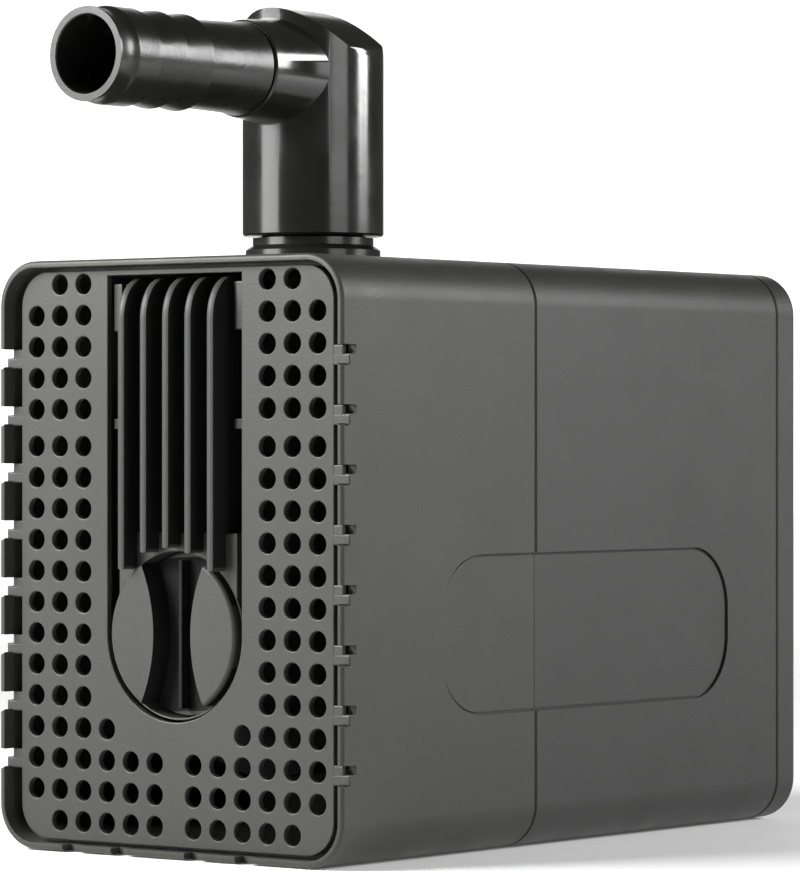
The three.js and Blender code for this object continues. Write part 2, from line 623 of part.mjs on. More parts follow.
const tabs = notchZs.flatMap((z) => [-1, 1].map((side) => solid(box(
  Math.min(side * TAB_X, side * (SCREEN_HALF_W - 0.5)),
  Math.max(side * TAB_X, side * (SCREEN_HALF_W - 0.5)),
  SCREEN_Y, FRONT_Y + NOTCH_DEPTH - GAP, z - NOTCH_H / 2 + GAP, z + NOTCH_H / 2 - GAP))));
addNode('intake_screen', surface(join(screenPlate, ...tabs)), materials.cage);

// ---------------------------------------------------------------- outlet
const collar = turnedZ([
  [RISER_R + GAP, HEIGHT + 0.35],
  [COLLAR_R, HEIGHT + 0.35],
  [COLLAR_R, HEIGHT + 2.4],
  [COLLAR_R - 1.1, HEIGHT + 2.9],
  [COLLAR_R - 1.1, ELBOW_Z0 - GAP],
  [RISER_R + GAP, ELBOW_Z0 - GAP],
  [RISER_R + GAP, HEIGHT + 0.35],
], 0, OUTLET_Y, 40);
addNode('outlet_collar', collar, materials.black);
addNode('riser_oring', turnedZ(cordProfile(RISER_R - 0.3, 0.42, 108)), materials.rubber);

// The column's top is rounded across the outlet and chamfered towards the back.
const elbowColumn = common(
  solid(rodZ(ELBOW_R, ELBOW_Z0, ELBOW_TOP_Z + 1, 0, OUTLET_Y, 40)),
  join(
    solid(rodY(CROWN_R, OUTLET_Y - 20, OUTLET_Y + 20, 0, ELBOW_TOP_Z - CROWN_R, 56)),
    solid(box(-20, 20, OUTLET_Y - 20, OUTLET_Y + 20, ELBOW_Z0 - 1, ELBOW_TOP_Z - CROWN_R)),
  ),
);
const backChamfer = prismX(
  [[-2, 0], [0.5, -1.1], [12, -12.6], [12, 2], [-2, 2]].map(([y, z]) => [OUTLET_Y + y, ELBOW_TOP_Z + z]),
  -20, 20,
);
const socket = turnedY([
  [0, SOCKET_END_Y], [SOCKET_R, SOCKET_END_Y], [SOCKET_ROOT_R, OUTLET_Y], [0, OUTLET_Y],
], 0, TAIL_Z);
const SPIGOT_R = 6.6;
const SPIGOT_Y1 = SOCKET_END_Y + 9;
const elbow = cut(
  join(cut(elbowColumn, solid(backChamfer)), solid(socket)),
  solid(rodZ(RISER_R + GAP, ELBOW_Z0 - 1, RISER_TOP_Z + GAP)),
  solid(rodZ(RISER_BORE_R, RISER_TOP_Z, TAIL_Z, 0, OUTLET_Y, 24)),
  solid(new THREE.SphereGeometry(RISER_BORE_R, 24, 12).translate(0, OUTLET_Y, TAIL_Z)),
  solid(rodY(TAIL_BORE_R - 0.4, SPIGOT_Y1 - 1, OUTLET_Y, 0, TAIL_Z, 24)),
  solid(rodY(SPIGOT_R + 0.2, SOCKET_END_Y - 1, SPIGOT_Y1 + GAP, 0, TAIL_Z)),
);
addNode('outlet_elbow', surface(elbow), materials.black);

const BARB_PITCH = 6.2;
const tailProfile = [[TAIL_BORE_R - 0.4, SPIGOT_Y1], [SPIGOT_R - 0.1, SPIGOT_Y1]];
const ORING_Y = SOCKET_END_Y + 4;
tailProfile.push(
  [SPIGOT_R - 0.1, ORING_Y + 0.9],
  [SPIGOT_R - 0.7, ORING_Y + 0.9],
  [SPIGOT_R - 0.7, ORING_Y - 0.9],
  [SPIGOT_R - 0.1, ORING_Y - 0.9],
  [SPIGOT_R - 0.1, SOCKET_END_Y - GAP],
  [7.3, SOCKET_END_Y - GAP],
  [7.1, SOCKET_END_Y - 3],
);
for (let i = 3; i >= 1; i -= 1) {
  const crest = TAIL_END_Y + 2.6 + i * BARB_PITCH;
  const foot = i > 1 ? [6.95, crest - BARB_PITCH + 1.1] : [BARB_R, TAIL_END_Y + 4];
  tailProfile.push([7, crest + 0.4], [BARB_R, crest], foot);
}
tailProfile.push([6.7, TAIL_END_Y], [TAIL_BORE_R, TAIL_END_Y], [TAIL_BORE_R - 0.4, SPIGOT_Y1]);
addNode('hose_tail', turnedY(tailProfile, 0, TAIL_Z, 26), materials.black);
addNode('tail_oring', turnedY(cordProfile(SPIGOT_R - 0.25, 0.3, ORING_Y), 0, TAIL_Z), materials.rubber);

export default group;
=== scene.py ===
"""Looks of the submersible fountain pump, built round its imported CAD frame."""

import json
from math import asin, cos, degrees, pi, radians, sin, sqrt

import bmesh
import bpy
from mathutils import Matrix, Vector


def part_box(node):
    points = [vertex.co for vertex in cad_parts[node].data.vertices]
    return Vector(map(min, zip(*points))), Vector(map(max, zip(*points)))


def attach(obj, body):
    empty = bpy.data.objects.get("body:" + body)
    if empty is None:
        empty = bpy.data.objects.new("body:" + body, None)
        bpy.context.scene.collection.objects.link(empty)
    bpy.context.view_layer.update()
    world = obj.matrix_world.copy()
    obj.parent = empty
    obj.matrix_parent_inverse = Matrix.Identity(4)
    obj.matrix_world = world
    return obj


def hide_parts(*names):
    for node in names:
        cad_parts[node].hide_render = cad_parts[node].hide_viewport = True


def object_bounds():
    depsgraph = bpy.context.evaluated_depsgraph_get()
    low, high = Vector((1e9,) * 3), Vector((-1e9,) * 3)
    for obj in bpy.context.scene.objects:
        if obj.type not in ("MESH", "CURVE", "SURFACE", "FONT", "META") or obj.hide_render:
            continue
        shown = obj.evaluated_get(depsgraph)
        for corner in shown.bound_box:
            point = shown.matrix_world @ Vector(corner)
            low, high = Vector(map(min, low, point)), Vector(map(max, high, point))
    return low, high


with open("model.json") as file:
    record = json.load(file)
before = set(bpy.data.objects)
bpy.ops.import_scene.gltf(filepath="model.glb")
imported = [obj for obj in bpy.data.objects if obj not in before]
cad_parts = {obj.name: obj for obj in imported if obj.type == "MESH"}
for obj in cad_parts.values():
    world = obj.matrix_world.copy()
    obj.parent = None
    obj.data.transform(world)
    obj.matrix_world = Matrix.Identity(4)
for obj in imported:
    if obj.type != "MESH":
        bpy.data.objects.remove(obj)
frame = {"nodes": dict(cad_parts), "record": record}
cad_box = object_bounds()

# ------------------------------------------------------------------ sizes, in millimetres
MM = 0.001  # one millimetre in Blender's metres


def box_mm(node):
    low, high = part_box(node)
    return [v / MM for v in low], [v / MM for v in high]


cage_lo, cage_hi = box_mm("strainer_cage")
housing_hi = box_mm("motor_housing")[1]
cover_hi = box_mm("rear_cover")[1]
screen_lo, screen_hi = box_mm("intake_screen")
grille_lo, grille_hi = box_mm("intake_grille")
dial_lo, dial_hi = box_mm("flow_dial")
elbow_lo, elbow_hi = box_mm("outlet_elbow")
tail_lo, tail_hi = box_mm("hose_tail")
collar_lo, collar_hi = box_mm("outlet_collar")

# body, cage and housing
HALF_W = cage_hi[0]
HEIGHT = cage_hi[2]
FRONT = cage_lo[1]
CORNER_R = 7.0
RIM = 1.05  # thickness of the cage's front edge
NOSE_R = 0.6  # rounding of that edge
CAGE_WALL = 2.0
CAGE_LIP = 2.3  # wall behind the screen
CAGE_LIP_DEPTH = 1.8
CAGE_LIP_BACK = 2.3  # from the screen's face to that wall
HOUSING_WALL = 2.4
FRONT_WALL_T = 3.2
WHEEL_BORE_R = 18.3  # opening in the housing's front wall
SEAM = 0.12  # dark line left between two shells
COVER_R = 1.6  # rounding of the cover's back edge
GLAND_BORE_R = 6.3
SCREW_BORE_R = 1.9
SCREW_HEAD_R = 3.4
SCREW_HEAD_DEPTH = 2.6

# front screen
SCREEN_Y = screen_lo[1]
SCREEN_T = 1.1
SCREEN_HALF_W = 31.2
SCREEN_R = 5.4
AXIS_Z = (dial_lo[2] + dial_hi[2]) / 2
HOLE_R = 1.6
HOLE_PITCH = 4.85
HOLE_FIRST_X = 3.85
HOLE_TOP_Z = 87.9
HOLE_ROW_STEP = 0.88  # extra space after the fifth row
HOLE_ROWS = 18
WINDOW_HALF_W = 13.4
WINDOW_TOP_Z = 89.1

# grille and dial
GRILLE_HALF_W = 11.8
GRILLE_SEAT_R = grille_hi[0]
GRILLE_Y = SCREEN_Y + 0.9
GRILLE_TOP_Z = grille_hi[2]
GRILLE_WALL = 1.6
EAR_HEIGHTS = ((80.5, GRILLE_TOP_Z - 1.0), (65.4, 67.0))  # bridges to the window's sides
FIN_T = 1.5
FIN_PITCH = 4.45
FIN_FRONT_Y = grille_lo[1]
FIN_TIP = 5.0  # depth of the rounded upper end
SEAT_TOP_Z = AXIS_Z + 15.6
SEAT_FLOOR_T = 1.8
DIAL_R = dial_hi[0]
DIAL_Y = dial_lo[1]
DIAL_T = 5.4
DIAL_PIN_R = 2.6
DIAL_EDGE = 0.6
CHANNEL_DEPTH = 4.1
CHANNEL_HALF_H = 14.0
WAIST = 3.7  # half the channel's width at the middle
BULGE_R = 24.0  # radius of the channel's two sides
RIB_HALF_W = 0.35

# notches round the cage's front edge
NOTCH_H = 3.2
NOTCH_DEPTH = 1.95
POCKET_DEPTH = 3.3  # of the deeper upper part of a notch
NOTCH_PITCH = 8.93
NOTCH_TOP_Z = 76.4
NOTCH_COUNT = 8
BASE_NOTCH_X = (-19.9, -9.9, 4.8, 14.8)
BASE_NOTCH_W = 2.6

# recessed panel on the right side
PANEL_Y = (-37.7, 40.7)
PANEL_Z = (21.5, 46.2)
PANEL_R = 10.0
PANEL_DEPTH = 0.35
PANEL_LINE_W = 0.42  # fine line sunk round the panel's edge
PANEL_LINE_DEPTH = 0.35

# outlet
OUTLET_Y = (collar_lo[1] + collar_hi[1]) / 2
RISER_R = 8.0
RISER_FIT_R = RISER_R + 0.3  # bore round the riser
RISER_TOP_Z = 113.3
WATERWAY_R = 6.0
ELBOW_R = elbow_hi[0]
CROWN_R = 12.0  # rounding of the elbow's top
CROWN_FOOT_Z = 80.0  # lower end of the crown's cutter, below the elbow
TAIL_Z = (tail_lo[2] + tail_hi[2]) / 2
TAIL_BORE_R = 5.9
TAIL_ROOT_R = 6.5
NECK_R = 6.95
BARB_FOOT_R = 6.75
BARB_R = tail_hi[0]
BARB_PITCH = 6.2
TIP_LENGTH = 2.6  # smooth stretch at the tail's tip, in front of the barbs
SOCKET_R = 7.6
SOCKET_ROOT_R = 9.6
SOCKET_END_Y = elbow_lo[1]
SOCKET_DEPTH = 9.0

# small pieces and cutters
BLOCK_EDGE = 0.2
PAST = 2.0  # how far a cutter reaches past what it cuts
CLEAR = 20.0  # half the width of the elbow's cutters, wider than the elbow

# ------------------------------------------------------------------ camera
scene = bpy.context.scene
VIEW_AZIMUTH = radians(37.655)
camera_data = bpy.data.cameras.new("camera")
camera_data.sensor_fit = "VERTICAL"
camera_data.sensor_height = 36.0
camera_data.lens = 194.0
camera_data.clip_start = 0.01
camera_data.dof.use_dof = False
camera = bpy.data.objects.new("camera", camera_data)
camera.location = (0.4648, -0.6058, 0.0638)
camera.rotation_euler = (radians(90.05), 0, VIEW_AZIMUTH)
scene.collection.objects.link(camera)
scene.camera = camera


# ------------------------------------------------------------------ mesh helpers
def add_object(name, mesh):
    obj = bpy.data.objects.new(name, mesh)
    scene.collection.objects.link(obj)
    return obj


def mesh_object(name, verts, faces):
    """A closed mesh from millimetre points, with its faces turned outwards."""
    mesh = bpy.data.meshes.new(name)
    mesh.from_pydata([Vector(v) * MM for v in verts], [], faces)
    work = bmesh.new()
    work.from_mesh(mesh)
    bmesh.ops.remove_doubles(work, verts=work.verts, dist=1e-7)
    bmesh.ops.recalc_face_normals(work, faces=work.faces)
    work.to_mesh(mesh)
    work.free()
    return add_object(name, mesh)


def weld(obj):
    """Joins doubled points, drops faces that closed up, and turns the rest outwards."""
    work = bmesh.new()
    work.from_mesh(obj.data)
    bmesh.ops.remove_doubles(work, verts=work.verts, dist=1e-6)
    bmesh.ops.dissolve_degenerate(work, edges=work.edges, dist=1e-7)
    bmesh.ops.recalc_face_normals(work, faces=work.faces)
    work.to_mesh(obj.data)
    work.free()


def arc(cx, cy, r, start, end, steps):
    """Points of an arc in degrees, ends included."""
    return [
        (cx + r * cos(radians(start + (end - start) * i / steps)),
         cy + r * sin(radians(start + (end - start) * i / steps)))
        for i in range(steps + 1)
    ]


def circle(cx, cy, r, sides):
    return arc(cx, cy, r, 0, 360 - 360 / sides, sides - 1)


def quarter(steps, first=0):
    """Angles from 0 to a right angle, in radians."""
    return [pi / 2 * i / steps for i in range(first, steps + 1)]


def rounded_loop(x0, x1, z0, z1, r, steps=12):
    """Corner arcs of a rounded rectangle, anticlockwise in X-Z."""
    return (
        arc(x1 - r, z0 + r, r, -90, 0, steps)
        + arc(x1 - r, z1 - r, r, 0, 90, steps)
        + arc(x0 + r, z1 - r, r, 90, 180, steps)
        + arc(x0 + r, z0 + r, r, 180, 270, steps)
    )


def body_loop(inset, steps=12):
    """The body's section, moved inwards by inset."""
    return rounded_loop(
        -HALF_W + inset, HALF_W - inset, inset, HEIGHT - inset, max(CORNER_R - inset, 0.8), steps)


def loft(name, rings, closed=False):
    """Skin over rings of (y, loop). Closed joins the last ring to the first, else the ends are capped."""
    verts = [(x, y, z) for y, loop in rings for x, z in loop]
    count = len(rings[0][1])
    faces = []
    spans = len(rings) if closed else len(rings) - 1
    for k in range(spans):
        a = k * count
        b = (k + 1) % len(rings) * count
        for i in range(count):
            j = (i + 1) % count
            faces.append((a + i, a + j, b + j, b + i))
    if not closed:
        faces.append(tuple(range(count)))
        faces.append(tuple(range((len(rings) - 1) * count, len(rings) * count)))
    return mesh_object(name, verts, faces)


def lathe(name, profile, centre, axis="Y", sides=96):
    """Turned piece from (radius, position along axis), closed or with both ends on the axis."""
    verts = []
    for r, h in profile:
        for i in range(sides):
            t = 2 * pi * i / sides
            u, v = r * cos(t), r * sin(t)
            if axis == "Y":
                verts.append((centre[0] + u, h, centre[1] + v))
            else:
                verts.append((centre[0] + u, centre[1] + v, h))
    faces = []
    ring = profile[0][0] > 0
    spans = len(profile) if ring else len(profile) - 1
    for k in range(spans):
        a = k * sides
        b = (k + 1) % len(profile) * sides
        for i in range(sides):
            j = (i + 1) % sides
            faces.append((a + i, a + j, b + j, b + i))
    obj = mesh_object(name, verts, faces)
    weld(obj)
    return obj


def plate(name, outline, holes, y0, y1, edge=0.1):
    """Flat plate with an X-Z outline and holes, from y0 to y1, with softened edges."""
    curve = bpy.data.curves.new(name, "CURVE")
    curve.dimensions = "2D"
    curve.fill_mode = "BOTH"
    for points in [outline, *holes]:
        spline = curve.splines.new("POLY")
        spline.points.add(len(points) - 1)
        for point, (x, z) in zip(spline.points, points):
            point.co = (x, z, 0, 1)
        spline.use_cyclic_u = True
    curve.extrude = (y1 - y0) / 2 - edge
    curve.bevel_depth = edge
    curve.bevel_resolution = 1
    curve.offset = -edge
    source = bpy.data.objects.new(name + "_outline", curve)
    scene.collection.objects.link(source)
    view = bpy.context.evaluated_depsgraph_get()
    mesh = bpy.data.meshes.new_from_object(source.evaluated_get(view))
    bpy.data.objects.remove(source)
    mesh.transform(Matrix(((1, 0, 0, 0), (0, 0, -1, (y0 + y1) / 2), (0, 1, 0, 0), (0, 0, 0, 1))))
    mesh.transform(Matrix.Scale(MM, 4))
    mesh.materials.clear()
    obj = add_object(name, mesh)
    weld(obj)
    return obj


def side_plate(name, outline, x0, x1, edge, holes=()):
    """Flat plate with a Y-Z outline, from x0 to x1."""
    obj = plate(name, outline, holes, -(x1 - x0) / 2, (x1 - x0) / 2, edge)
    turn = Matrix(((0, -1, 0, (x0 + x1) / 2 * MM), (1, 0, 0, 0), (0, 0, 1, 0), (0, 0, 0, 1)))
    obj.data.transform(turn)
    return obj


def block(name, x_range, y_range, z_range):
    """Small rounded bar between two values along each axis, given in either order along X."""
    outline = rounded_loop(*sorted(x_range), *z_range, BLOCK_EDGE, 4)
    return plate(name, outline, [], *y_range, min(BLOCK_EDGE, (y_range[1] - y_range[0]) / 2.2))


def merge(name, parts):
    """One object from several."""
    work = bmesh.new()
    for part in parts:
        work.from_mesh(part.data)
        bpy.data.objects.remove(part)
    mesh = bpy.data.meshes.new(name)
    work.to_mesh(mesh)
    work.free()
    return add_object(name, mesh)


def carve(obj, cutter, operation="DIFFERENCE"):
    """Applies a boolean and removes the cutter."""
    step = obj.modifiers.new("carve", "BOOLEAN")
    step.operation = operation
    step.solver = "EXACT"
    step.use_self = True
    step.object = cutter
    view = bpy.context.evaluated_depsgraph_get()
    mesh = bpy.data.meshes.new_from_object(obj.evaluated_get(view))
    obj.modifiers.clear()
    obj.data = mesh
    bpy.data.objects.remove(cutter)
    weld(obj)


def shade_faces(obj, main, shade_material, test):
    """Gives the faces that pass the test the darker second material, which paints shade into deep places."""
    obj.data.materials.clear()
    obj.data.materials.append(main)
    obj.data.materials.append(shade_material)
    for face in obj.data.polygons:
        face.material_index = 1 if test(face) else 0


def dress(obj, body, nodes, material, edge=0.0, sharp=34):
    """Gives a piece its material, soft edges, shading, body and the CAD nodes that it stands for."""
    if len(obj.data.materials) == 0:
        obj.data.materials.append(material)
    if edge:
        bevel = obj.modifiers.new("edges", "BEVEL")
        bevel.width = edge * MM
        bevel.segments = 2
        bevel.limit_method = "ANGLE"
        bevel.angle_limit = radians(38)
    obj.data.shade_smooth()
    obj.data.set_sharp_from_angle(angle=radians(sharp))
    shading = obj.modifiers.new("shading", "WEIGHTED_NORMAL")
    shading.keep_sharp = True
    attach(obj, body)
    if nodes:
        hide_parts(*nodes)
    return obj


# ------------------------------------------------------------------ materials
def noise(tree, coords, scale, detail=4.0, roughness=0.55):
    node = tree.nodes.new("ShaderNodeTexNoise")
    node.inputs["Scale"].default_value = scale
    node.inputs["Detail"].default_value = detail
    node.inputs["Roughness"].default_value = roughness
    tree.links.new(coords, node.inputs["Vector"])
    return node.outputs["Fac"]


def ramp(tree, value, low, high, out_low=0.0, out_high=1.0):
    node = tree.nodes.new("ShaderNodeMapRange")
    node.inputs["From Min"].default_value = low
    node.inputs["From Max"].default_value = high
    node.inputs["To Min"].default_value = out_low
    node.inputs["To Max"].default_value = out_high
    tree.links.new(value, node.inputs["Value"])
    return node.outputs["Result"]


def mix_colour(tree, fac, under, over):
    """Lays a plain colour over a plain colour or over another node's colour."""
    node = tree.nodes.new("ShaderNodeMix")
    node.data_type = "RGBA"
    if isinstance(under, tuple):
        node.inputs["A"].default_value = (*under, 1)
    else:
        tree.links.new(under, node.inputs["A"])
    node.inputs["B"].default_value = (*over, 1)
    tree.links.new(fac, node.inputs["Factor"])
    return node.outputs["Result"]


def surface(name, colour, lighter, rough, grain_mm=0.35, grain=0.1, metallic=0.0, specular=0.5, tint=1.0,
            streak=None):
    """Moulded or turned material: mottled colour, uneven sheen, fine grain and light scuffs."""
    material = bpy.data.materials.new(name)
    material.use_nodes = True
    tree = material.node_tree
    shader = tree.nodes["Principled BSDF"]
    coords = tree.nodes.new("ShaderNodeTexCoord").outputs["Object"]
    if streak:
        mapping = tree.nodes.new("ShaderNodeMapping")
        mapping.inputs["Scale"].default_value = streak
        tree.links.new(coords, mapping.inputs["Vector"])
        coords = mapping.outputs["Vector"]
    mottle = ramp(tree, noise(tree, coords, 45.0, 5.0), 0.3, 0.7)
    base = mix_colour(tree, mottle, colour, lighter)
    scuff = ramp(tree, noise(tree, coords, 260.0, 6.0, 0.7), 0.66, 0.8, 0.0, 0.35)
    base = mix_colour(tree, scuff, base, tuple(min(1.0, c * 1.7 + 0.01) for c in lighter))
    tree.links.new(base, shader.inputs["Base Color"])
    sheen = ramp(tree, noise(tree, coords, 120.0, 4.0), 0.3, 0.7, rough - 0.05, rough + 0.06)
    tree.links.new(sheen, shader.inputs["Roughness"])
    shader.inputs["Metallic"].default_value = metallic
    shader.inputs["Specular IOR Level"].default_value = specular
    shader.inputs["Specular Tint"].default_value = (tint, tint, tint, 1)
    fine = noise(tree, coords, 1000.0 / grain_mm, 2.0, 0.5)
    bump = tree.nodes.new("ShaderNodeBump")
    bump.inputs["Strength"].default_value = grain
    bump.inputs["Distance"].default_value = 0.0003
    tree.links.new(fine, bump.inputs["Height"])
    tree.links.new(bump.outputs["Normal"], shader.inputs["Normal"])
    return material


housing_plastic = surface("housing_plastic", (0.024, 0.025, 0.023), (0.028, 0.029, 0.027), 0.42, 0.35, 0.12,
                          tint=0.42)
cage_plastic = surface("cage_plastic", (0.029, 0.030, 0.026), (0.034, 0.035, 0.031), 0.43, 0.35, 0.12,
                       tint=0.37)
gloss_black = surface("gloss_black", (0.006, 0.006, 0.005), (0.009, 0.009, 0.008), 0.17, 1.2, 0.03,
                      specular=1.0, tint=0.5)
satin_black = surface("satin_black", (0.006, 0.006, 0.005), (0.009, 0.009, 0.008), 0.25, 0.8, 0.06,
                      specular=0.6, tint=0.5)
# near-black material used as painted shade: it darkens the fin gaps, the dial's channel and rib, and the
# volute, where the same parts would only lie in shadow
painted_shade_black = surface("painted_shade_black", (0.003, 0.003, 0.003), (0.005, 0.005, 0.005), 0.75, 0.8, 0.06,
                     specular=0.2)
materials = {
    "housing": housing_plastic,
    "cage_plastic": cage_plastic,
    "black_plastic": gloss_black,
    "rubber": surface("seal_rubber", (0.012, 0.012, 0.012), (0.02, 0.02, 0.02), 0.7, 0.2, 0.3),
    "nylon": surface("natural_nylon", (0.62, 0.58, 0.48), (0.72, 0.68, 0.58), 0.42, 0.6, 0.1),
    "ceramic": surface("polished_ceramic", (0.75, 0.73, 0.68), (0.82, 0.8, 0.76), 0.18, 0.3, 0.03),
    "ferrite": surface("ground_ferrite", (0.03, 0.03, 0.034), (0.05, 0.05, 0.055), 0.5, 0.25, 0.2),
    "lamination": surface("steel_laminations", (0.22, 0.23, 0.25), (0.34, 0.35, 0.37), 0.4, 0.4, 0.25, 0.85,
                          streak=(1.0, 40.0, 1.0)),
    "copper": surface("enamelled_winding", (0.36, 0.12, 0.03), (0.5, 0.2, 0.06), 0.3, 0.3, 0.3, 0.8,
                      streak=(1.0, 1.0, 30.0)),
    "steel": surface("stainless_steel", (0.5, 0.51, 0.53), (0.62, 0.63, 0.65), 0.28, 0.2, 0.08, 1.0),
}

# CAD nodes get their slot's material; the volute, seen only through the grille, gets the near-black material
# instead, as painted shade
slot_of = {part["node"]: part["material_slot"] for part in frame["record"]["subparts"]}
for node, obj in frame["nodes"].items():
    obj.data.materials.clear()
    obj.data.materials.append(painted_shade_black if node == "volute_body" else materials[slot_of[node]])


# ------------------------------------------------------------------ strainer cage
def notch_heights():
    return [NOTCH_TOP_Z - i * NOTCH_PITCH for i in range(NOTCH_COUNT)]


def panel_loop(inset=0.0):
    return rounded_loop(PANEL_Y[0] + inset, PANEL_Y[1] - inset, PANEL_Z[0] + inset, PANEL_Z[1] - inset,
                        PANEL_R - inset, 20)


def carve_panel(shell):
    """Sinks the panel into a shell's right side, with a fine line round its edge."""
    carve(shell, side_plate("panel", panel_loop(), HALF_W - PANEL_DEPTH, HALF_W + 5, 0.05))
    line_x = HALF_W - PANEL_DEPTH - PANEL_LINE_DEPTH
    carve(shell, side_plate("panel_line", panel_loop(), line_x, line_x + 5, 0.01, [panel_loop(PANEL_LINE_W)]))


def notch_cutter(x_range, z_range, r, depth, steps=4):
    outline = rounded_loop(*sorted(x_range), *z_range, r, steps)
    return plate("notch", outline, [], FRONT - 1, FRONT + depth, 0.05)


def riser_slot():
    """Cutter for the slot in the top wall that the riser slides into."""
    r = RISER_R + 0.6
    back = cage_hi[1] + PAST
    outline = [(r, back), *arc(0, OUTLET_Y, r, 0, -180, 24), (-r, back)]
    cutter = plate("riser_slot", outline, [], -(HEIGHT + 1), -(HEIGHT - 6), 0.05)
    cutter.data.transform(Matrix(((1, 0, 0, 0), (0, 0, 1, 0), (0, -1, 0, 0), (0, 0, 0, 1))))
    return cutter


lip_y = SCREEN_Y + CAGE_LIP_BACK
cage = loft("cage_shell", [
    (cage_hi[1], body_loop(0.3)),
    (cage_hi[1] - 0.3, body_loop(0)),
    (FRONT + 12, body_loop(0)),
    *[(FRONT + NOSE_R - NOSE_R * sin(t), body_loop(NOSE_R - NOSE_R * cos(t))) for t in quarter(6)],
    (FRONT, body_loop(RIM - 0.12)),
    (FRONT + 0.12, body_loop(RIM)),
    (lip_y, body_loop(RIM)),
    (lip_y, body_loop(CAGE_LIP)),
    (lip_y + CAGE_LIP_DEPTH, body_loop(CAGE_LIP)),
    (lip_y + CAGE_LIP_DEPTH, body_loop(CAGE_WALL)),
    (cage_hi[1], body_loop(CAGE_WALL)),
], closed=True)
carve_panel(cage)
for z in notch_heights():
    for side in (-1, 1):
        across = (side * (HALF_W - RIM - 0.3), side * (HALF_W + PAST))
        carve(cage, notch_cutter(across, (z - NOTCH_H / 2, z + NOTCH_H / 2), 1.1, NOTCH_DEPTH, 5))
        carve(cage, notch_cutter(across, (z + 0.15, z + NOTCH_H / 2 - 0.05), 0.5, POCKET_DEPTH))
for x in BASE_NOTCH_X:
    across = (x - BASE_NOTCH_W / 2, x + BASE_NOTCH_W / 2)
    carve(cage, notch_cutter(across, (-PAST, RIM + 0.3), 0.6, NOTCH_DEPTH))
carve(cage, riser_slot())
dress(cage, "cage", ["strainer_cage"], cage_plastic, 0.12)

# ------------------------------------------------------------------ front screen
window = (
    [(-WINDOW_HALF_W, WINDOW_TOP_Z)]
    + arc(0, AXIS_Z, WINDOW_HALF_W, 180, 360, 60)
    + [(WINDOW_HALF_W, WINDOW_TOP_Z)]
)


def columns_in_row(row):
    """Holes of a row on one side of the middle, counted outwards from 0."""
    if row == 0:
        return (3, 4)
    if row <= 13:
        return (3, 4, 5)
    if row == 14:
        return (2, 3, 4, 5)
    if row <= 16:
        return (0, 1, 2, 3, 4, 5)
    return (0, 1, 2, 3, 4)


holes = [window]
for row in range(HOLE_ROWS):
    z = HOLE_TOP_Z - row * HOLE_PITCH - (HOLE_ROW_STEP if row > 4 else 0)
    for column in columns_in_row(row):
        for side in (-1, 1):
            x = side * (HOLE_FIRST_X + column * HOLE_PITCH)
            holes.append(circle(x, z, HOLE_R, 24))
plate_outline = rounded_loop(-SCREEN_HALF_W, SCREEN_HALF_W, screen_lo[2], screen_hi[2], SCREEN_R)
screen_parts = [plate("screen_plate", plate_outline, holes, SCREEN_Y, SCREEN_Y + SCREEN_T, 0.16)]
tab_x = HALF_W - 0.1
tab_foot_x = SCREEN_HALF_W - 0.5
tab_back = SCREEN_Y + 0.9
for z in notch_heights():
    low = z - NOTCH_H / 2
    high = z + NOTCH_H / 2
    for side in (-1, 1):
        screen_parts.append(block("tab", (side * tab_x, side * tab_foot_x), (SCREEN_Y + 0.02, tab_back),
                                  (low + 0.1, z + 0.1)))
        screen_parts.append(block("tab_root", (side * (tab_x - 1.3), side * tab_foot_x),
                                  (SCREEN_Y + 0.04, tab_back), (low + 0.2, high - 0.1)))
screen = merge("screen", screen_parts)
dress(screen, "cage", ["intake_screen"], cage_plastic, sharp=14)


# ------------------------------------------------------------------ intake grille
def grille_outline(inset, top=GRILLE_TOP_Z):
    """Straight sides above, which run into the round seat of the dial."""
    r = GRILLE_SEAT_R - inset
    half = GRILLE_HALF_W - inset
    lean = degrees(asin(sqrt(r * r - half * half) / r))
    return [(half, top - inset), (-half, top - inset), *arc(0, AXIS_Z, r, 180 - lean, 360 + lean, 72)]


seat_floor = DIAL_Y + DIAL_T + 0.4
floor_back = seat_floor + SEAT_FLOOR_T
pin_hole = circle(0, AXIS_Z, DIAL_PIN_R + 0.3, 24)
seat_hole = circle(0, AXIS_Z, DIAL_R + 0.35, 72)
fin_slots = [
    rounded_loop(i * FIN_PITCH - (FIN_PITCH - FIN_T) / 2, i * FIN_PITCH + (FIN_PITCH - FIN_T) / 2,
                 SEAT_TOP_Z, GRILLE_TOP_Z - 2.4, 0.3, 3)
    for i in (-1.5, -0.5, 0.5, 1.5)
]
duct = loft("duct", [
    (floor_back, grille_outline(0)),
    (grille_hi[1], grille_outline(0)),
    (grille_hi[1], grille_outline(GRILLE_WALL)),
    (floor_back, grille_outline(GRILLE_WALL)),
], closed=True)
grille_parts = [
    plate("seat", grille_outline(0, SEAT_TOP_Z), [seat_hole], GRILLE_Y, seat_floor, 0.2),
    plate("seat_floor", grille_outline(0.2), [pin_hole, *fin_slots], seat_floor, floor_back, 0.05),
    duct,
]


def fin(x):
    """Standing fin, cut off above the dial and rounded back at its upper end."""
    foot_r = DIAL_R + 0.9
    foot_z = AXIS_Z + sqrt(foot_r * foot_r - x * x)
    top = GRILLE_TOP_Z - 0.05
    back = seat_floor + 0.5
    tip_h = FIN_TIP * 1.3
    outline = [(FIN_FRONT_Y, foot_z), (back, foot_z), (back, top)]
    outline += [(FIN_FRONT_Y + FIN_TIP - FIN_TIP * sin(t), top - tip_h + tip_h * cos(t)) for t in quarter(14)]
    return side_plate("fin", outline, x - FIN_T / 2, x + FIN_T / 2, 0.55)


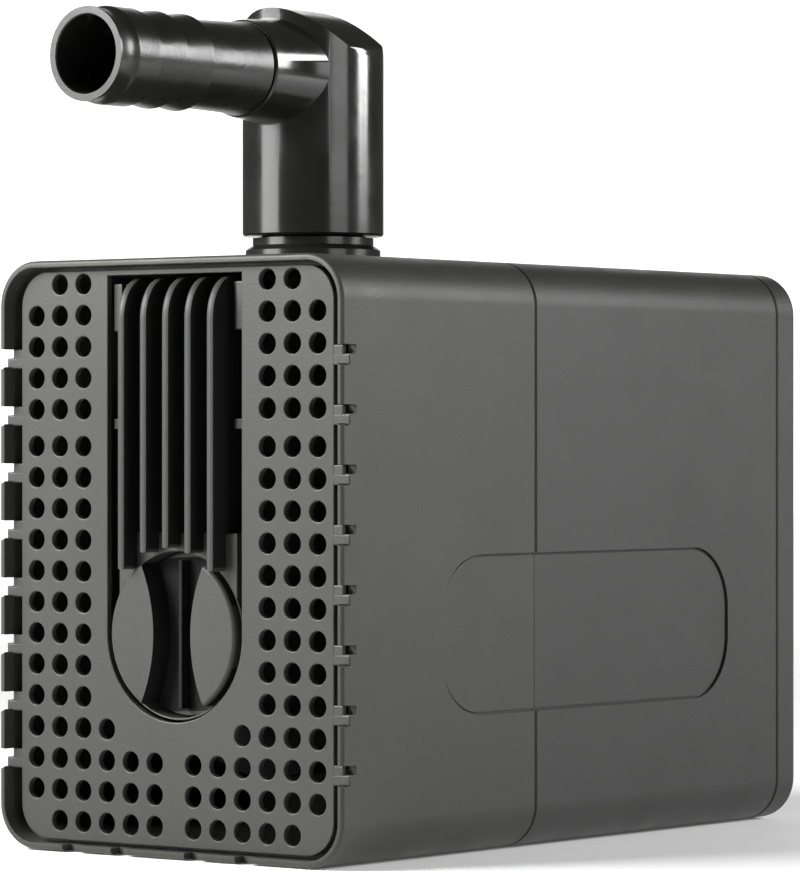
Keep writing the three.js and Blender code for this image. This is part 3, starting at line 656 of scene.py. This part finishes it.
grille_parts += [fin(i * FIN_PITCH) for i in (-2, -1, 0, 1, 2)]
ear_x = WINDOW_HALF_W - 0.3
for heights in EAR_HEIGHTS:
    for side in (-1, 1):
        grille_parts.append(block("ear", (side * (GRILLE_HALF_W - 0.4), side * ear_x),
                                  (GRILLE_Y + 0.2, GRILLE_Y + 2), heights))
        grille_parts.append(block("ear_web", (side * (GRILLE_HALF_W - GRILLE_WALL), side * GRILLE_HALF_W),
                                  (GRILLE_Y + 1.2, seat_floor + 1), heights))
grille = merge("grille", grille_parts)


def painted_shade_in_grille(face):
    """True for the sides of the fins and for what lies behind them: these faces get painted shade."""
    x, y, z = face.center
    between_fins = abs(face.normal.x) > 0.9 or y > (GRILLE_Y + 3) * MM
    return z > SEAT_TOP_Z * MM and between_fins and abs(x) < (GRILLE_HALF_W - 0.1) * MM


# painted shade: the fins' sides and the duct behind them get the near-black material instead of the grille's
# plastic
shade_faces(grille, cage_plastic, painted_shade_black, painted_shade_in_grille)
dress(grille, "pump_body", ["intake_grille"], cage_plastic, sharp=26)

# ------------------------------------------------------------------ flow dial
side_lean = degrees(asin(CHANNEL_HALF_H / BULGE_R))
channel_outline = arc(-WAIST - BULGE_R, AXIS_Z, BULGE_R, side_lean, -side_lean, 40)
channel_outline += arc(WAIST + BULGE_R, AXIS_Z, BULGE_R, 180 + side_lean, 180 - side_lean, 40)
channel_floor = DIAL_Y + CHANNEL_DEPTH
dial_edge = [(DIAL_R - DIAL_EDGE + DIAL_EDGE * sin(t), DIAL_Y + DIAL_EDGE - DIAL_EDGE * cos(t))
             for t in quarter(5)]
dial = lathe("dial", [
    (0, DIAL_Y),
    *dial_edge,
    (DIAL_R, DIAL_Y + DIAL_T),
    (DIAL_PIN_R, DIAL_Y + DIAL_T),
    (DIAL_PIN_R, dial_hi[1]),
    (0, dial_hi[1]),
], (0, AXIS_Z))
carve(dial, plate("channel", channel_outline, [], DIAL_Y - PAST, channel_floor, 0.02))
rib = block("dial_rib", (-RIB_HALF_W, RIB_HALF_W), (DIAL_Y + 2.0, channel_floor + 0.3),
            (AXIS_Z - DIAL_R + 1, AXIS_Z + DIAL_R - 1))


def painted_shade_in_dial(face):
    """True for the channel's floor and for its sides below the front edge: these faces get painted shade."""
    x, y, z = face.center
    below_edge = (DIAL_Y + 0.9) * MM < y < (channel_floor + 0.1) * MM
    return below_edge and abs(x) < (DIAL_R - 1) * MM and abs(z - AXIS_Z * MM) < (DIAL_R - 0.5) * MM


# painted shade: the channel's floor and sides get the near-black material instead of the dial's plastic
shade_faces(dial, cage_plastic, painted_shade_black, painted_shade_in_dial)
dress(dial, "dial", ["flow_dial"], cage_plastic, 0.25)
# painted shade: the rib in the channel is made near-black rather than the dial's plastic
dress(rib, "dial", [], painted_shade_black)

# ------------------------------------------------------------------ motor housing and rear cover
housing_front = cage_hi[1] + SEAM
housing_back = housing_hi[1]
wall_back = housing_front + FRONT_WALL_T
housing = loft("housing_shell", [
    (housing_front, body_loop(HOUSING_WALL + 0.2)),
    (housing_front, body_loop(0.3)),
    (housing_front + 0.3, body_loop(0)),
    (housing_front + 20, body_loop(0)),
    (housing_back - 0.35, body_loop(0)),
    (housing_back, body_loop(0.35)),
    (housing_back, body_loop(HOUSING_WALL)),
    (wall_back, body_loop(HOUSING_WALL)),
    (wall_back, body_loop(HOUSING_WALL + 0.2)),
], closed=True)
carve_panel(housing)
dress(housing, "pump_body", [], housing_plastic, 0.1)
front_wall = plate("housing_front_wall", body_loop(HOUSING_WALL + 0.1), [circle(0, AXIS_Z, WHEEL_BORE_R, 72)],
                   housing_front, wall_back, 0.1)
dress(front_wall, "pump_body", ["motor_housing"], housing_plastic, sharp=14)


def middle_xz(node):
    """X and Z of a node's middle."""
    low, high = box_mm(node)
    return (low[0] + high[0]) / 2, (low[2] + high[2]) / 2


cover_front = housing_hi[1] + SEAM
cover_back = cover_hi[1]
bore_front = cover_front - PAST
bore_back = cover_back + PAST
cover = loft("cover_shell", [
    (cover_front, body_loop(1.0)),
    (cover_front, body_loop(0.3)),
    (cover_front + 0.3, body_loop(0)),
    (cover_back - COVER_R, body_loop(0)),
    *[(cover_back - COVER_R + COVER_R * sin(t), body_loop(COVER_R - COVER_R * cos(t)))
      for t in quarter(8, first=1)],
    (cover_back, body_loop(3.0)),
])
carve(cover, lathe("gland_bore", [
    (0, bore_front),
    (GLAND_BORE_R, bore_front),
    (GLAND_BORE_R, bore_back),
    (0, bore_back),
], middle_xz("cord_gland"), sides=48))
for number in (1, 2, 3, 4):
    carve(cover, lathe("screw_bore", [
        (0, bore_front),
        (SCREW_BORE_R, bore_front),
        (SCREW_BORE_R, cover_back - SCREW_HEAD_DEPTH),
        (SCREW_HEAD_R, cover_back - SCREW_HEAD_DEPTH),
        (SCREW_HEAD_R, bore_back),
        (0, bore_back),
    ], middle_xz(f"cover_screw_{number}"), sides=40))
dress(cover, "pump_body", ["rear_cover"], housing_plastic, 0.15)

# ------------------------------------------------------------------ outlet
flange_r = collar_hi[0]
flange_z = collar_lo[2]
collar = lathe("collar", [
    (RISER_FIT_R, flange_z),
    (flange_r - 0.4, flange_z),
    (flange_r, flange_z + 0.4),
    (flange_r, flange_z + 1.7),
    (flange_r - 0.4, flange_z + 2.1),
    (flange_r - 1.1, flange_z + 2.5),
    (flange_r - 1.1, collar_hi[2]),
    (RISER_FIT_R, collar_hi[2]),
], (0, OUTLET_Y), "Z")
dress(collar, "pump_body", ["outlet_collar"], gloss_black)

elbow = lathe("elbow_shell", [
    (0, elbow_hi[2] + 1),
    (ELBOW_R, elbow_hi[2] + 1),
    (ELBOW_R, elbow_lo[2] + 0.3),
    (ELBOW_R - 0.3, elbow_lo[2]),
    (RISER_FIT_R, elbow_lo[2]),
    (RISER_FIT_R, RISER_TOP_Z),
    (WATERWAY_R, RISER_TOP_Z),
    (WATERWAY_R, TAIL_Z),
    (WATERWAY_R - 1.5, TAIL_Z + 3),
    (0, TAIL_Z + 4),
], (0, OUTLET_Y), "Z")
crown = arc(0, elbow_hi[2] - CROWN_R, CROWN_R, 0, 180, 64)
crown += [(-CROWN_R, CROWN_FOOT_Z), (CROWN_R, CROWN_FOOT_Z)]
carve(elbow, plate("crown", crown, [], OUTLET_Y - CLEAR, OUTLET_Y + CLEAR, 0.02), "INTERSECT")
chamfer = [(OUTLET_Y + y, elbow_hi[2] + z)
           for y, z in ((-2, 0), (0.5, -1.1), (12, -12.6), (12, PAST), (-2, PAST))]
carve(elbow, side_plate("back_chamfer", chamfer, -CLEAR, CLEAR, 0.02))
socket = lathe("socket", [
    (0, OUTLET_Y),
    (SOCKET_ROOT_R, OUTLET_Y),
    (SOCKET_R, SOCKET_END_Y + 0.25),
    (SOCKET_R - 0.25, SOCKET_END_Y),
    (0, SOCKET_END_Y),
], (0, TAIL_Z))
carve(elbow, socket, "UNION")
seat_y = SOCKET_END_Y + SOCKET_DEPTH
carve(elbow, lathe("bore", [
    (0, OUTLET_Y),
    (WATERWAY_R - 0.5, OUTLET_Y),
    (WATERWAY_R - 0.5, seat_y),
    (TAIL_ROOT_R + 0.3, seat_y),
    (TAIL_ROOT_R + 0.3, SOCKET_END_Y - 1),
    (0, SOCKET_END_Y - 1),
], (0, TAIL_Z), sides=64))
dress(elbow, "elbow", ["outlet_elbow"], gloss_black, 0.6)

tip = tail_lo[1]
tail_profile = [
    (TAIL_BORE_R - 0.4, tail_hi[1]),
    (TAIL_ROOT_R, tail_hi[1]),
    (TAIL_ROOT_R, SOCKET_END_Y - 0.3),
    (NECK_R + 0.2, SOCKET_END_Y - 0.3),
    (NECK_R + 0.35, SOCKET_END_Y - 0.45),
    (NECK_R + 0.1, SOCKET_END_Y - 3.0),
]
for barb in (3, 2, 1):
    crest = tip + TIP_LENGTH + barb * BARB_PITCH
    tail_profile += [(BARB_FOOT_R, crest + 0.4), (BARB_R - 0.1, crest + 0.15), (BARB_R, crest)]
    tail_profile.append((BARB_R - 0.02, crest - 0.5))
    if barb > 1:
        tail_profile.append((BARB_FOOT_R, crest - BARB_PITCH + 1.0))
tail_profile += [
    (BARB_R, tip + 4.2),
    (BARB_R - 0.1, tip + 3.6),
    (NECK_R, tip + 3.0),
    (NECK_R, tip + 1.3),
    (NECK_R + 0.2, tip + 0.5),
    (NECK_R + 0.15, tip),
    (TAIL_BORE_R + 0.15, tip),
    (TAIL_BORE_R, tip + 0.2),
]
tail = lathe("tail", tail_profile, (0, TAIL_Z))
dress(tail, "elbow", ["hose_tail"], satin_black)

# ------------------------------------------------------------------ stage and light
scene.view_settings.view_transform = "Standard"


def stage_plane(name, half_x, half_y, material):
    mesh = bpy.data.meshes.new(name)
    corners = [(-half_x, -half_y, 0), (half_x, -half_y, 0), (half_x, half_y, 0), (-half_x, half_y, 0)]
    mesh.from_pydata(corners, [], [(0, 1, 2, 3)])
    mesh.materials.append(material)
    obj = add_object(name, mesh)
    return obj


def glow(name, near, far, near_level, far_level):
    """Pale surface with its own light, from near_level close to its middle to far_level further off."""
    material = surface(name, (0.8, 0.8, 0.8), (0.84, 0.84, 0.84), 0.7, 3.0, 0.02)
    tree = material.node_tree
    coords = tree.nodes.new("ShaderNodeTexCoord").outputs["Object"]
    length = tree.nodes.new("ShaderNodeVectorMath")
    length.operation = "LENGTH"
    tree.links.new(coords, length.inputs[0])
    level = ramp(tree, length.outputs["Value"], near, far, near_level, far_level)
    shader = tree.nodes["Principled BSDF"]
    shader.inputs["Emission Color"].default_value = (1.0, 1.0, 0.995, 1)
    tree.links.new(level, shader.inputs["Emission Strength"])
    return material


BACKDROP_DISTANCE = 3.5
BACKDROP_HALF_H = 1.0
floor_plane = stage_plane("floor", 6, 6, glow("pale_floor", 0.16, 0.9, 0.06, 0.8))
floor_plane.location.z = cad_box[0][2] - 0.0002
backdrop = stage_plane("backdrop", 0.9, BACKDROP_HALF_H, glow("white_backdrop", 0.5, 2.5, 0.9, 0.9))
away = Vector((-sin(VIEW_AZIMUTH), cos(VIEW_AZIMUTH), 0))
backdrop.location = away * BACKDROP_DISTANCE + Vector((0, 0, BACKDROP_HALF_H))
backdrop.rotation_euler = (pi / 2, 0, VIEW_AZIMUTH)

world = bpy.data.worlds.new("studio")
world.use_nodes = True
sky = world.node_tree.nodes["Background"]
sky.inputs["Color"].default_value = (0.9, 0.92, 0.9, 1)
sky.inputs["Strength"].default_value = 0.1
scene.world = world


def area_light(name, azimuth, elevation, distance, size, power, aim=(0, 0, 0.06)):
    """Soft box seen from the object at that azimuth (0 is the front, 90 the right side)."""
    light = bpy.data.lights.new(name, "AREA")
    light.shape = "RECTANGLE"
    light.size, light.size_y = size
    light.energy = power
    obj = bpy.data.objects.new(name, light)
    a, e = radians(azimuth), radians(elevation)
    obj.location = Vector(aim) + distance * Vector((sin(a) * cos(e), -cos(a) * cos(e), sin(e)))
    obj.rotation_euler = (Vector(aim) - obj.location).to_track_quat("-Z", "Y").to_euler()
    scene.collection.objects.link(obj)


area_light("key_low", -35, 5, 0.8, (0.46, 0.15), 1.7)
area_light("key_high", -34, 27, 0.42, (0.26, 0.16), 4.6)
area_light("side_right", 127, 19, 0.8, (0.27, 0.31), 6.8)
area_light("fill_right", 80, 15, 0.9, (0.46, 0.34), 2)
